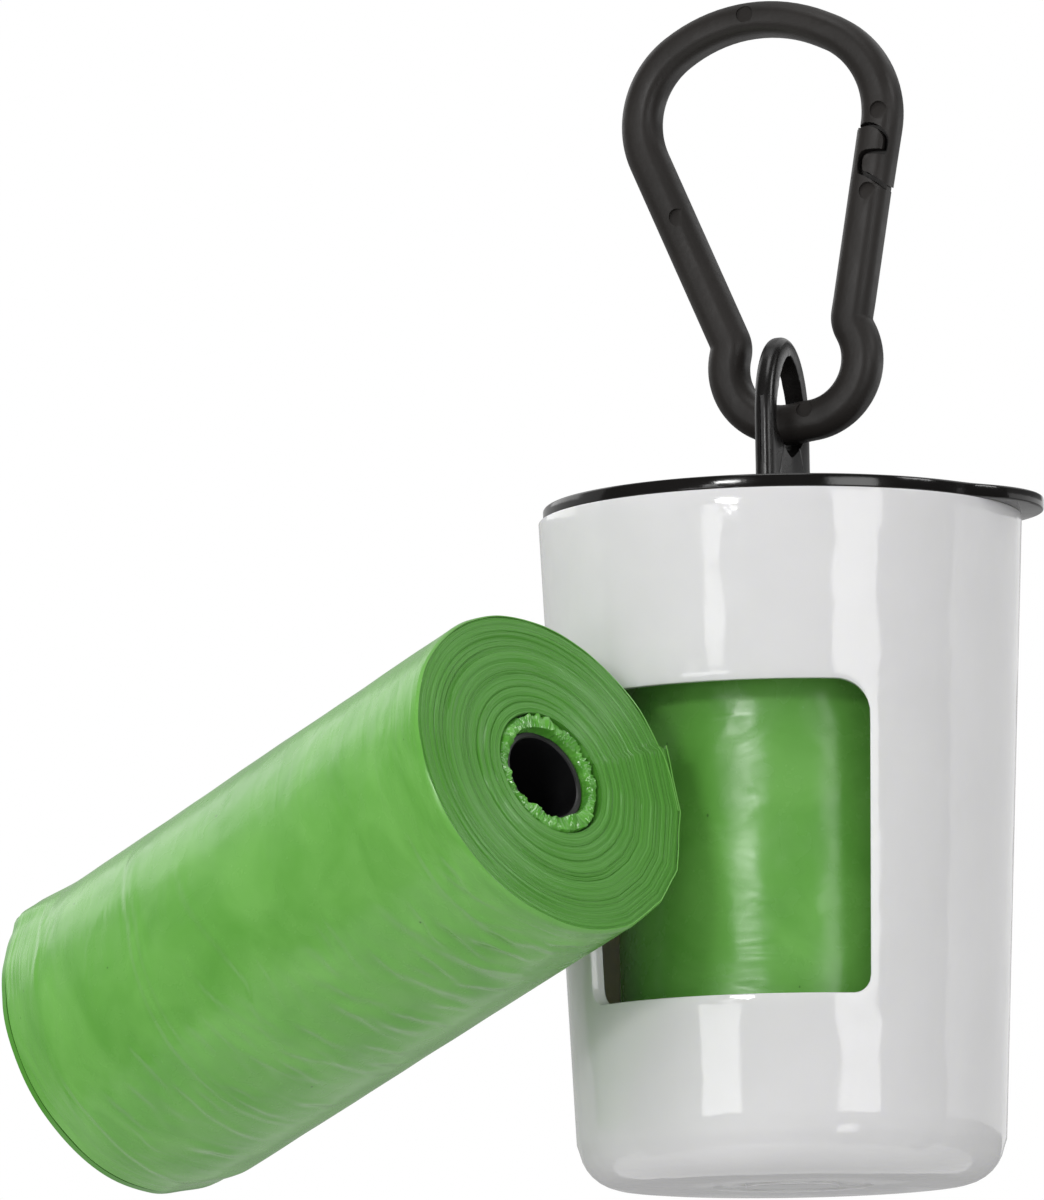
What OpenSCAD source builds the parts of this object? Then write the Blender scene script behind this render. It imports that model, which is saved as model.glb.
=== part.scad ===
// Dog waste bag dispenser: a push-lid canister with a window, a roll of bags inside,
// a snap hook on the lid's loop, and a spare roll that leans on the canister.
// Millimetres, +Z up. The origin is the middle of the canister's underside.
// The window faces -Y, the lid's thumb tab is near +X.

/* [Canister] */
// Height of the canister, from the surface it stands on to its rim
canister_height = 63.4; // [55:0.2:110]
// Outer diameter at the rim
rim_d = 46; // [44:0.5:80]
// Outer diameter at the base, where the walls would meet the floor
base_d = 40.2; // [38:0.2:76]
// Thickness of the wall
wall = 1.3; // [0.8:0.1:2]
// Thickness of the floor
floor_thickness = 1.5; // [1.2:0.1:4]
// Radius of the round between wall and base
base_round = 4.2; // [2.4:0.1:7]
// Outer diameter of the shallow ring groove under the base
groove_d = 15.2; // [10:0.2:24]
// Depth of that groove
groove_depth = 0.35; // [0.1:0.05:0.6]
// Diameter of the disc in the middle of the groove, level with the base
gate_mark_d = 8.7; // [3:0.1:9.6]

/* [Window] */
// Angle that the window spans around the canister
window_angle = 82.6; // [40:0.2:110]
// Height of the window's lower edge
window_bottom = 16.5; // [10:0.1:30]
// Height of the window's upper edge
window_top = 45.6; // [38:0.1:52]
// Radius of the window's corners
window_corner = 2.5; // [1:0.1:5]

/* [Lid] */
// Diameter of the lid's plate
lid_d = 45.1; // [43:0.1:80]
// Thickness of the lid's plate
lid_thickness = 1.3; // [1:0.1:3]
// How far the lid's plug ring reaches into the canister
plug_depth = 4.5; // [2:0.1:8]
// Wall of the plug ring
plug_wall = 1.2; // [0.8:0.1:2]
// Running gap between the plug ring and the canister's wall
plug_play = 0.12; // [0.05:0.01:0.3]
// Radius of the round thumb tab
tab_r = 11; // [6:0.2:16]
// How far the thumb tab stands out past the lid's plate
tab_reach = 2.75; // [1.5:0.05:6]
// Angle from +X to the middle of the thumb tab
tab_turn = 7; // [-20:1:20]

/* [Loop] */
// Height of the loop above the lid's plate
loop_height = 16.3; // [14.5:0.1:24]
// Width of the loop, along Y
loop_w = 11.2; // [10.4:0.1:16]
// Thickness of the loop, along X
loop_thickness = 1.9; // [1.2:0.1:3]
// Wall around the hole in the loop
loop_wall = 1.4; // [1:0.1:1.8]
// Height of the loop's rounded top
loop_arch = 8; // [5.6:0.2:10]
// Height of the hole in the loop
loop_hole_h = 10.4; // [9.4:0.1:12]
// Distance of the loop from the lid's centre, along X
loop_offset = 0.4; // [-2:0.1:2]

/* [Snap hook] */
// Thickness of the hook's rod, seen from the front
rod_w = 3.75; // [3:0.05:4.4]
// Thickness of the rod at the top bend
rod_top_w = 3.35; // [3:0.05:4.4]
// Depth of the hook's rod, front to back
rod_depth = 4; // [3:0.1:4.6]
// Radius of the rod's rounded corners
rod_corner = 1.5; // [0.6:0.1:1.5]
// Height of the corner that the top bend rounds off, above the bottom bend's centre line
hook_peak = 41.85; // [40:0.05:44]
// Radius of the top bend
peak_r = 16; // [12:0.1:17]
// Height of the back shoulder's corner
shoulder_h = 34.8; // [32:0.1:36]
// How much lower the shoulder on the gate's side lies
shoulder_drop = 1.6; // [0:0.1:2]
// Half of the distance between the shoulders' corners
shoulder_x = 13.9; // [12:0.1:16]
// Radius of the shoulder bends
shoulder_r = 8.9; // [5:0.1:9.2]
// Height of the necks' corners
neck_h = 8.6; // [8.3:0.05:11]
// Half of the distance between the necks' corners
neck_x = 6.1; // [5.8:0.05:7]
// Radius of the neck bends
neck_r = 2.3; // [2.1:0.1:2.8]
// Half of the distance between the corners of the bottom bend
pocket_x = 9.15; // [9:0.05:11]
// Radius of the bottom bend's corners
pocket_r = 5.7; // [4.5:0.1:6]
// Angle that the hook leans to -X
hook_lean = 7; // [0:0.5:12]
// Distance of the hook's middle from the loop, along X
hook_shift = 1.57; // [0:0.01:2]
// Gap between the rod and the bottom of the loop's hole
hook_lift = 1.74; // [0.3:0.02:2.5]
// Gap between the rod and the side of the loop's hole that it rests against
hook_play = 0.5; // [0.4:0.05:1]

/* [Gate] */
// Distance from the neck's corner to the point that the gate bends about
gate_root = 2.4; // [2.2:0.1:5]
// Gap between the gate and the rest of the hook
gate_gap = 0.3; // [0.2:0.05:0.4]
// Distance from the neck's corner to the top of the gate's head, at its neck
head_top = 18.8; // [17:0.1:19.5]
// Height of the gate's head
head_h = 2.7; // [2:0.1:3.2]
// Height of the nose's barb that the head hooks over
barb_h = 2; // [1.4:0.1:2.6]
// Thickness of the thin neck that carries the gate's head
head_neck = 0.8; // [0.6:0.1:1]
// Thickness of the nose's outer strip, past the head
nose_strip = 0.7; // [0.5:0.1:1]

/* [Bag rolls] */
// Gap between the roll's top and the lid
roll_headroom = 0.4; // [0.2:0.1:8]
// Diameter of a full roll
roll_d = 32; // [28:0.5:34]
// Diameter of the hole in the core tube
core_bore = 8; // [5:0.5:12]
// Wall of the core tube
core_wall = 0.6; // [0.4:0.1:1.5]
// How far each end of the core tube lies inside the roll
core_inset = 0.6; // [0:0.1:3]
// Thickness of the loosely wrapped first bag around the core
first_bag = 1.4; // [0.8:0.1:2.4]
// Thickness of the outermost bag
outer_bag_t = 0.25; // [0.2:0.05:0.6]
// How far the slack in the outermost bag stands out
slack = 0.8; // [0.3:0.1:1.2]
// Angle that the slack spans
slack_angle = 76; // [50:2:120]
// Gap between the roll and the canister's floor
roll_play = 0.2; // [0.1:0.05:0.4]

/* [Spare roll] */
// Angle of the spare roll's axis above the surface that it stands on
spare_rise = 19.6; // [0:0.1:35]
// Heading of the spare roll's raised end, from +X
spare_heading = -24.6; // [-50:0.2:0]
// How far the raised end reaches past the canister's axis
spare_reach = 6.7; // [0:0.1:30]
// Gap between the spare roll and the canister
spare_gap = 0.3; // [0.2:0.05:1]

/* [Hidden] */
// Circles at or above this count are kept as true curves.
$fn = 96;
// Overshoot of cutting shapes past the faces that they cut
past = 1;
// Gap between the layers of a roll
layer_gap = 0.04;
// Where the outermost bag is slack, as an angle about the roll's axis
roll_slack_at = 90;
spare_slack_at = 67;

// Canister
taper = (rim_d - base_d) / 2 / canister_height;
function wall_r(z) = base_d / 2 + taper * z;
lid_top = canister_height + lid_thickness;

// Loop and the snap hook's place in it
loop_top = lid_top + loop_height;
loop_hole_w = loop_w - 2 * loop_wall;
hole_top = loop_top - loop_wall;
hole_bottom = hole_top - loop_hole_h;
hook_x = loop_offset + hook_shift;
hook_y = loop_hole_w / 2 - rod_depth / 2 - hook_play;
hook_z = hole_bottom + hook_lift + rod_w / 2 + hook_shift * tan(hook_lean);

// Corners of the snap hook's centre line, each with its bend radius
gate_shoulder_h = shoulder_h - shoulder_drop;
hook_corners = [
    [0, hook_peak, peak_r],
    [shoulder_x, gate_shoulder_h, shoulder_r],
    [neck_x, neck_h, neck_r],
    [pocket_x, 0, pocket_r],
    [-pocket_x, 0, pocket_r],
    [-neck_x, neck_h, neck_r],
    [-shoulder_x, shoulder_h, shoulder_r]
];
arm_tilt = atan2(shoulder_x - neck_x, gate_shoulder_h - neck_h);

// Roll: it fills the canister from the floor to the lid, and the spare roll is like it
roll_length = canister_height - floor_thickness - roll_play - roll_headroom;
roll_r = roll_d / 2;
core_r = core_bore / 2 + core_wall;
first_bag_r = core_r + layer_gap + first_bag;
bags_r = roll_r - outer_bag_t - layer_gap;

// Geometry of the closed centre line: the place of corner i, the direction of the edge that leaves it,
// the angle that the path turns there, and the length that its bend takes from each edge beside it.
function unit(v) = v / norm(v);
function corner(i) = let(c = hook_corners[(i + len(hook_corners)) % len(hook_corners)]) [c[0], c[1]];
function edge_length(i) = norm(corner(i + 1) - corner(i));
function edge_dir(i) = unit(corner(i + 1) - corner(i));
function turn_at(i) = acos(max(-1, min(1, edge_dir(i - 1) * edge_dir(i))));
function bend_reach(i) = hook_corners[(i + len(hook_corners)) % len(hook_corners)][2] * tan(turn_at(i) / 2);
// A bend's radius is limited by the edges beside it, so that neighbouring bends never run into each other.
edge_use = 0.995;
function edge_share(i) = min(1, edge_use * edge_length(i) / (bend_reach(i) + bend_reach(i + 1)));
function bend_r(i) = hook_corners[i][2] * min(edge_share(i - 1), edge_share(i));

// Points along the arc that rounds corner i, one about every bend_step degrees.
bend_step = 8;
function bend(i) =
    let(
        b = corner(i),
        from = edge_dir(i - 1),
        to = edge_dir(i),
        turn = turn_at(i),
        r = bend_r(i),
        side = from[0] * to[1] - from[1] * to[0] < 0 ? 1 : -1,
        start = b - from * r * tan(turn / 2),
        centre = start + side * r * [from[1], -from[0]],
        steps = max(2, ceil(turn / bend_step))
    )
    [for (k = [0 : steps])
        let(a = -side * turn * k / steps, v = start - centre)
        centre + [v[0] * cos(a) - v[1] * sin(a), v[0] * sin(a) + v[1] * cos(a)]
    ];

hook_path = [for (i = [0 : len(hook_corners) - 1]) each bend(i)];

// Outline of the rod's cross-section: a rounded rectangle, across the rod and through its depth.
corner_steps = 3;
rod_section = [
    for (q = [0 : 3], k = [0 : corner_steps])
        let(
            a = 90 * q + 90 * k / corner_steps,
            sx = q == 0 || q == 3 ? 1 : -1,
            sy = q < 2 ? 1 : -1
        )
        [
            sx * (rod_w / 2 - rod_corner) + rod_corner * cos(a),
            sy * (rod_depth / 2 - rod_corner) + rod_corner * sin(a)
        ]
];

// How much the rod loses on each side at a height: nothing below the shoulders, most at the top.
slim_from = gate_shoulder_h - shoulder_r / 2;
function rod_slimming(h) =
    (rod_w - rod_top_w) / 2 * max(0, min(1, (h - slim_from) / (hook_peak - peak_r / 8 - slim_from)));

// The whole hook as one closed rod, upright, with the middle of its bottom bend at the origin.
module hook_ring() {
    n = len(hook_path);
    m = len(rod_section);
    points = [
        for (i = [0 : n - 1])
            let(
                to_here = unit(hook_path[i] - hook_path[(i + n - 1) % n]),
                to_next = unit(hook_path[(i + 1) % n] - hook_path[i]),
                along = unit(to_here + to_next),
                out = [-along[1], along[0]]
            )
            let(slim = rod_slimming(hook_path[i][1]))
            for (p = rod_section)
                let(across = p[0] - sign(p[0]) * slim)
                [hook_path[i][0] + out[0] * across, p[1], hook_path[i][1] + out[1] * across]
    ];
    faces = [
        for (i = [0 : n - 1], j = [0 : m - 1])
            let(i2 = (i + 1) % n, j2 = (j + 1) % m)
            each [
                [i * m + j, i * m + j2, i2 * m + j2],
                [i * m + j, i2 * m + j2, i2 * m + j]
            ]
    ];
    polyhedron(points, faces);
}

// Places a flat shape on the gate's arm: x is across the arm and outward, y is along it from the neck.
module on_arm() {
    translate([neck_x, 0, neck_h]) rotate([0, arm_tilt, 0]) rotate([90, 0, 0])
        translate([0, 0, -rod_depth]) linear_extrude(2 * rod_depth) children();
}

// Slopes of the head's top, of its inner lip and of the cut below the barb
head_slope = 0.42;
head_lip_slope = 0.15;
catch_slope = 0.42;
// How far the round at the gate's root passes the rod's sides, and the step between its points in degrees
root_margin = 0.1;
root_step = 15;
// The part of the arm that belongs to the gate, grown by g on every side that faces the frame.
module gate_area(g) {
    reach = rod_w;
    root_r = rod_w / 2 + root_margin + g;
    inner = -rod_w / 2 + head_neck;
    outer = rod_w / 2 - nose_strip - gate_gap;
    head_base = head_top - head_h;
    shelf = head_base - gate_gap - barb_h;
    top_at = function(x) head_top - head_slope * max(0, x - inner) - head_lip_slope * max(0, inner - x);
    body_at = function(x) shelf - catch_slope * (x - inner);
    polygon([
        [-reach, top_at(-reach) + g],
        [inner, top_at(inner) + g],
        [outer + g, top_at(outer) + g],
        [outer + g, head_base - g],
        [inner + g, head_base - g],
        [inner + g, body_at(inner + g) + g],
        [reach, body_at(reach) + g],
        [reach, gate_root + root_r],
        for (a = [0 : -root_step : -180]) [root_r * cos(a), gate_root + root_r * sin(a)],
        [-reach, gate_root + root_r]
    ]);
}

module place_hook() {
    translate([hook_x, hook_y, hook_z]) rotate([0, -hook_lean, 0]) children();
}

// Local frame of a roll: its axis is +Z, from 0 to roll_length.
module place_roll() {
    translate([0, 0, floor_thickness + roll_play]) children();
}

// The spare roll lies with its low rim on the ground and its side against the canister.
spare_low_z = roll_r * cos(spare_rise);
spare_top_z = spare_low_z + roll_length * sin(spare_rise);
spare_touch_z = spare_top_z - spare_reach * tan(spare_rise);
spare_away = roll_r + wall_r(spare_touch_z) + spare_gap;
spare_start = spare_reach - roll_length * cos(spare_rise);
module place_spare() {
    rotate([0, 0, spare_heading])
        translate([spare_start, -spare_away, spare_low_z])
            rotate([0, 90 - spare_rise, 0]) children();
}

module core_tube() {
    translate([0, 0, core_inset]) difference() {
        cylinder(h = roll_length - 2 * core_inset, r = core_r);
        translate([0, 0, -past]) cylinder(h = roll_length + 2 * past, d = core_bore);
    }
}

module sleeve(outer_r, inner_r) {
    difference() {
        cylinder(h = roll_length, r = outer_r);
        translate([0, 0, -past]) cylinder(h = roll_length + 2 * past, r = inner_r);
    }
}

// The outermost bag: a thin sleeve that stands out where the film is slack.
// slack_at is the angle of the slack's middle about the roll's axis.
around_step = 4;
around = [0 : around_step : 360 - around_step];
function slack_out(a) = let(d = min(a, 360 - a)) d < slack_angle / 2 ? slack * cos(180 * d / slack_angle) : 0;
module outer_bag(slack_at) {
    rotate([0, 0, slack_at]) linear_extrude(roll_length) difference() {
        polygon([for (a = around) (roll_r + slack_out(a)) * [cos(a), sin(a)]]);
        polygon([for (a = around) (bags_r + layer_gap) * [cos(a), sin(a)]]);
    }
}

// One flat end of the wedge that cuts the window, at the distance y in front of the axis.
corner_turns = 6;
module window_plate(y) {
    half = window_angle / 2;
    bend_angle = window_corner / wall_r((window_bottom + window_top) / 2) * 180 / PI;
    translate([0, -y, 0]) rotate([90, 0, 0]) linear_extrude(0.01) polygon([
        for (q = [0 : 3], k = [0 : corner_turns])
            let(
                a = 90 * q + 90 * k / corner_turns,
                sx = q == 0 || q == 3 ? 1 : -1,
                middle = q < 2 ? window_top - window_corner : window_bottom + window_corner,
                around = sx * (half - bend_angle) + bend_angle * cos(a)
            )
            [y * tan(around), middle + window_corner * sin(a)]
    ]);
}

// Window: its sides run toward the axis, so the cut shows the wall's full thickness.
module window_cutter() {
    hull() {
        window_plate(wall_r(window_bottom) * 0.5);
        window_plate(rim_d / 2 + past);
    }
}

// Profile of the canister's wall, half of its section.
round_steps = 8;
module cup_profile(inset, bottom, top, r) {
    foot = wall_r(bottom) - inset;
    head = wall_r(top) - inset;
    polygon([
        [0, bottom],
        for (i = [0 : round_steps])
            let(a = -90 + (90 - atan(taper)) * i / round_steps)
            [foot + taper * r - r + r * cos(a), bottom + r + r * sin(a)],
        [head, top],
        [0, top]
    ]);
}

module canister() {
    inner_round = base_round - wall;
    color([0.86, 0.87, 0.88]) difference() {
        rotate_extrude() cup_profile(0, 0, canister_height, base_round);
        rotate_extrude() cup_profile(wall, floor_thickness, canister_height + past, inner_round);
        window_cutter();
        translate([0, 0, -past]) difference() {
            cylinder(h = past + groove_depth, d = groove_d);
            cylinder(h = past + groove_depth, d = gate_mark_d);
        }
    }
}

// Step between the points of the loop's arch, in degrees
arch_step = 6;
module lid() {
    plug_r = wall_r(canister_height) - wall - plug_play;
    plug_low_r = plug_r - taper * plug_depth;
    tab_x = lid_d / 2 + tab_reach - tab_r;
    arch_z = loop_top - loop_arch;
    color([0.06, 0.06, 0.06]) {
        translate([0, 0, canister_height]) linear_extrude(lid_thickness) {
            circle(d = lid_d);
            rotate(tab_turn) translate([tab_x, 0]) circle(r = tab_r);
        }
        difference() {
            translate([0, 0, canister_height - plug_depth])
                cylinder(h = plug_depth + lid_thickness / 2, r1 = plug_low_r, r2 = plug_r);
            translate([0, 0, canister_height - plug_depth - past])
                cylinder(h = plug_depth + past, r = plug_low_r - plug_wall);
        }
        translate([loop_offset - loop_thickness / 2, 0, 0]) rotate([90, 0, 90]) linear_extrude(loop_thickness)
            difference() {
                polygon([
                    [-loop_w / 2, lid_top - lid_thickness / 2],
                    [loop_w / 2, lid_top - lid_thickness / 2],
                    for (a = [0 : arch_step : 180]) [loop_w / 2 * cos(a), arch_z + loop_arch * sin(a)]
                ]);
                translate([0, hole_top - loop_hole_w / 2]) circle(d = loop_hole_w);
                translate([0, hole_bottom + loop_hole_w / 2]) circle(d = loop_hole_w);
                translate([-loop_hole_w / 2, hole_bottom + loop_hole_w / 2])
                    square([loop_hole_w, loop_hole_h - loop_hole_w]);
            }
    }
}

module hook_frame() {
    color([0.17, 0.165, 0.16]) place_hook() difference() {
        hook_ring();
        on_arm() gate_area(gate_gap);
    }
}

module hook_gate() {
    color([0.2, 0.195, 0.19]) place_hook() intersection() {
        hook_ring();
        on_arm() gate_area(0);
    }
}

module roll_core() { color([0.08, 0.08, 0.08]) place_roll() core_tube(); }
module roll_first_bag() { color([0.45, 0.75, 0.35]) place_roll() sleeve(first_bag_r, core_r + layer_gap); }
module roll_bags() { color([0.4, 0.7, 0.3]) place_roll() sleeve(bags_r, first_bag_r + layer_gap); }
module roll_outer_bag() { color([0.42, 0.72, 0.32]) place_roll() outer_bag(roll_slack_at); }

module spare_core() { color([0.08, 0.08, 0.08]) place_spare() core_tube(); }
module spare_first_bag() { color([0.45, 0.75, 0.35]) place_spare() sleeve(first_bag_r, core_r + layer_gap); }
module spare_bags() { color([0.4, 0.7, 0.3]) place_spare() sleeve(bags_r, first_bag_r + layer_gap); }
module spare_outer_bag() { color([0.42, 0.72, 0.32]) place_spare() outer_bag(spare_slack_at); }

canister();
lid();
hook_frame();
hook_gate();
roll_core();
roll_first_bag();
roll_bags();
roll_outer_bag();
spare_core();
spare_first_bag();
spare_bags();
spare_outer_bag();
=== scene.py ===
from math import atan2, ceil, cos, degrees, exp, hypot, pi, radians, sin, tan

import bmesh
import bpy
from mathutils import Matrix, Vector, noise


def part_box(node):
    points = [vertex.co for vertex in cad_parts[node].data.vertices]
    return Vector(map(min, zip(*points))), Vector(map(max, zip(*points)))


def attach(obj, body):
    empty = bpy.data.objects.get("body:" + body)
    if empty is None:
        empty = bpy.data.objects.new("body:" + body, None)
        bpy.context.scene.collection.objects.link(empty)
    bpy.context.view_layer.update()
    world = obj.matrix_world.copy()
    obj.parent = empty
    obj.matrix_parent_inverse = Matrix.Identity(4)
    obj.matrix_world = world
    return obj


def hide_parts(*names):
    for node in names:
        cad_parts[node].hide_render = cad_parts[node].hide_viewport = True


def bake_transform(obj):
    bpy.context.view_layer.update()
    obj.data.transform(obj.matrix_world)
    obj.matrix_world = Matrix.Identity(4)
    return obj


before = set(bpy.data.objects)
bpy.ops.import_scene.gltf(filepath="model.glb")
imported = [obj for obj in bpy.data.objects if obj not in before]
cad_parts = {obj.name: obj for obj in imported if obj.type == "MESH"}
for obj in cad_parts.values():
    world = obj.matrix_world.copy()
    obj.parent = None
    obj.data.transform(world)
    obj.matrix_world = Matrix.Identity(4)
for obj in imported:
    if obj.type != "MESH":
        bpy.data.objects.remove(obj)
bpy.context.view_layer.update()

# ----------------------------------------------------------
# Canister: a one-piece moulded cup in glossy pale grey plastic, with a slight draft to its round foot.
# The window is moulded through its side toward the axis, so the cut shows the wall, and the lips are
# faintly rounded. Underneath is a shallow ring groove around the gate mark.
MM = 0.001
canister_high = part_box("canister")[1]
rim_radius, canister_height = canister_high[0], canister_high[2]
base_radius = 20.1 * MM
wall = 1.3 * MM
foot_round, foot_steps = 4.2 * MM, 8
groove_outer, groove_inner, groove_depth, groove_draft = 7.6 * MM, 4.35 * MM, 0.35 * MM, 0.1 * MM
dimple_depth = 0.12 * MM
window_half_angle = radians(41.3)
window_low, window_high = 16.5 * MM, 45.6 * MM
window_corner_high, window_corner_low = 3.2 * MM, 1.7 * MM
window_draft, draft_reach = 0.62 * MM, 0.15 * MM
lip_strip, lip_round, lip_angle = 0.9 * MM, 0.2 * MM, radians(38)
around_cells, wall_cells = 144, 38
hole_cells, hole_row_low, hole_row_high = 19, 6, 28
touching = 0.01 * MM


def wall_radius(z):
    return base_radius + (rim_radius - base_radius) * z / canister_height


window_middle = (window_low + window_high) / 2
mean_radius = wall_radius(window_middle)
half_window = window_half_angle * mean_radius
half_window_height = (window_high - window_low) / 2
row_height = (canister_height - foot_round) / wall_cells
column_width = 2 * pi * mean_radius / around_cells
edge_margin = row_height / 4


def from_core(x, y, half_x, half_y):
    """The nearest place of a rectangle around the origin, and the way from there to this one."""
    core = Vector((max(-half_x, min(half_x, x)), max(-half_y, min(half_y, y))))
    return core, Vector((x, y)) - core


def from_window(x, y):
    """The nearest place of the window's core, the way out from there, and the corner's radius there."""
    corner = window_corner_high if y > 0 else window_corner_low
    core, out = from_core(x, y, half_window - corner, half_window_height - corner)
    return core, out, corner


def grow_edge(mesh, edges):
    """Extrudes a loop of edges in place, and returns the new vertices and the new edges."""
    grown = bmesh.ops.extrude_edge_only(mesh, edges=edges)["geom"]
    new_verts = [part for part in grown if isinstance(part, bmesh.types.BMVert)]
    new_edges = [part for part in grown if isinstance(part, bmesh.types.BMEdge)]
    return new_verts, new_edges


def face_out(mesh):
    bmesh.ops.recalc_face_normals(mesh, faces=mesh.faces)


def as_object(name, mesh):
    data = bpy.data.meshes.new(name)
    mesh.to_mesh(data)
    mesh.free()
    thing = bpy.data.objects.new(name, data)
    bpy.context.scene.collection.objects.link(thing)
    return thing


def built(mesh, modifiers):
    """The mesh with these modifiers built in, each given as its kind and its settings."""
    work = as_object("work", mesh)
    for kind, settings in modifiers:
        modifier = work.modifiers.new(kind.title(), kind)
        for key, value in settings.items():
            setattr(modifier, key, value)
    graph = bpy.context.evaluated_depsgraph_get()
    data = bpy.data.meshes.new_from_object(work.evaluated_get(graph))
    result = bmesh.new()
    result.from_mesh(data)
    bpy.data.meshes.remove(data)
    bpy.data.objects.remove(work)
    return result


def settle(name, mesh, body, node, finish, crisp=35):
    """Makes a finished piece of a mesh, in which edges sharper than crisp, in degrees, stay crisp."""
    piece = as_object(name, mesh)
    piece.data.shade_smooth()
    piece.data.set_sharp_from_angle(angle=radians(crisp))
    piece.data.materials.append(finish)
    if body:
        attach(piece, body)
    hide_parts(node)
    return piece


def node_adder(tree):
    """A function that adds a node to this tree, with its settings, and sets or links its sockets."""
    def add(kind, sockets=(), **settings):
        node = tree.nodes.new(kind)
        for key, value in settings.items():
            setattr(node, key, value)
        for key, value in dict(sockets).items():
            if isinstance(value, bpy.types.NodeSocket):
                tree.links.new(value, node.inputs[key])
            else:
                node.inputs[key].default_value = value
        return node

    return add


def new_finish(name, sockets=()):
    """A material with some of its shader's sockets set, its shader, and what adds and links nodes."""
    finish = bpy.data.materials.new(name)
    finish.use_nodes = True
    tree = finish.node_tree
    shader = tree.nodes["Principled BSDF"]
    for key, value in dict(sockets).items():
        shader.inputs[key].default_value = value
    return finish, shader, node_adder(tree), tree.links.new


def two_tone(add, clouds, low, high, dark, light):
    """A colour that goes from dark to light between two levels of a noise."""
    tone = add("ShaderNodeValToRGB", {"Fac": clouds.outputs["Fac"]})
    for stop, place, colour in zip(tone.color_ramp.elements, (low, high), (dark, light)):
        stop.position = place
        stop.color = (*colour, 1)
    return tone.outputs["Color"]


def uneven(add, clouds, low, high):
    """A value that goes from low to high over the middle of a noise."""
    spread = add("ShaderNodeMapRange", {"Value": clouds.outputs["Fac"], "From Min": 0.3, "From Max": 0.7,
                                        "To Min": low, "To Max": high})
    return spread.outputs["Result"]


def moulded_plastic(name, dark, light, rough, wave, grain, sockets=()):
    """Moulded plastic: faint cloudiness, uneven gloss, slow waviness from sink and a fine grain.

    The wave and the grain are each given as a depth and a scale.
    """
    (wave_depth, wave_scale), (grain_depth, grain_scale) = wave, grain
    finish, shader, add, link = new_finish(name, sockets)
    place = add("ShaderNodeTexCoord").outputs["Object"]
    cloud = add("ShaderNodeTexNoise", {"Vector": place, "Scale": 90.0, "Detail": 3.0})
    link(two_tone(add, cloud, 0.3, 0.7, dark, light), shader.inputs["Base Color"])
    patch = add("ShaderNodeTexNoise", {"Vector": place, "Scale": 260.0, "Detail": 4.0})
    link(uneven(add, patch, *rough), shader.inputs["Roughness"])
    slow = add("ShaderNodeTexNoise", {"Vector": place, "Scale": wave_scale, "Detail": 2.0,
                                      "Roughness": 0.40})
    slow_bump = add("ShaderNodeBump", {"Height": slow.outputs["Fac"], "Distance": wave_depth})
    fine = add("ShaderNodeTexNoise", {"Vector": place, "Scale": grain_scale, "Detail": 2.0})
    fine_bump = add("ShaderNodeBump", {"Height": fine.outputs["Fac"], "Distance": grain_depth,
                                       "Normal": slow_bump.outputs["Normal"]})
    link(fine_bump.outputs["Normal"], shader.inputs["Normal"])
    return finish


canister_plastic = moulded_plastic(
    "pale_grey_gloss", dark=(0.622, 0.620, 0.624), light=(0.648, 0.646, 0.649), rough=(0.06, 0.09),
    wave=(0.26 * MM, 120.0), grain=(0.004 * MM, 2500.0),
    sockets={"Subsurface Weight": 0.45, "Subsurface Radius": (1.0, 1.0, 0.8), "Subsurface Scale": 2.4 * MM})

# A flat grid is left open at the window, wrapped around the wall and carried on into the foot.
shell = bmesh.new()
bmesh.ops.create_grid(shell, x_segments=around_cells, y_segments=wall_cells, size=0.5)
for vert in shell.verts:
    vert.co.x *= 2 * pi * mean_radius
    vert.co.y = foot_round + (vert.co.y + 0.5) * wall_cells * row_height - window_middle
hole_side = hole_cells * column_width
hole_bottom = foot_round + hole_row_low * row_height - window_middle
hole_top = foot_round + hole_row_high * row_height - window_middle
inside = [face for face in shell.faces
          if abs(face.calc_center_median().x) < hole_side
          and hole_bottom < face.calc_center_median().y < hole_top]
bmesh.ops.delete(shell, geom=inside, context="FACES")
hole_edges = [edge for edge in shell.edges if edge.is_boundary
              and all(abs(vert.co.x) < hole_side + edge_margin
                      and hole_bottom - edge_margin < vert.co.y < hole_top + edge_margin
                      for vert in edge.verts)]
for strip in (lip_strip, 0):
    lip_verts, hole_edges = grow_edge(shell, hole_edges)
    for vert in lip_verts:
        core, out, corner = from_window(vert.co.x, vert.co.y)
        vert.co.xy = core + out.normalized() * (corner + strip)
for vert in shell.verts:
    turn = vert.co.x / mean_radius
    height = vert.co.y + window_middle
    radius = wall_radius(height)
    vert.co = (radius * sin(turn), -radius * cos(turn), height)
bmesh.ops.remove_doubles(shell, verts=shell.verts, dist=touching)

foot_profile = [(base_radius - foot_round + foot_round * cos(angle), foot_round + foot_round * sin(angle))
                for angle in (-(pi / 2) * step / foot_steps for step in range(1, foot_steps + 1))]
foot_profile += [(groove_outer * 1.5, 0), (groove_outer, 0), (groove_outer - groove_draft, groove_depth),
                 (groove_inner + groove_draft, groove_depth), (groove_inner, 0),
                 (groove_inner * 0.8, dimple_depth), (groove_inner * 0.4, dimple_depth * 1.5)]
foot_edges = [edge for edge in shell.edges if edge.is_boundary
              and all(abs(vert.co.z - foot_round) < edge_margin for vert in edge.verts)]
for radius, height in foot_profile:
    ring, foot_edges = grow_edge(shell, foot_edges)
    for vert in ring:
        vert.co = Vector((vert.co.x, vert.co.y, 0)).normalized() * radius + Vector((0, 0, height))
bmesh.ops.contextual_create(shell, geom=foot_edges)
face_out(shell)
shell = built(shell, [("SOLIDIFY", {"thickness": wall, "offset": -1.0, "use_even_offset": True})])
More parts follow.
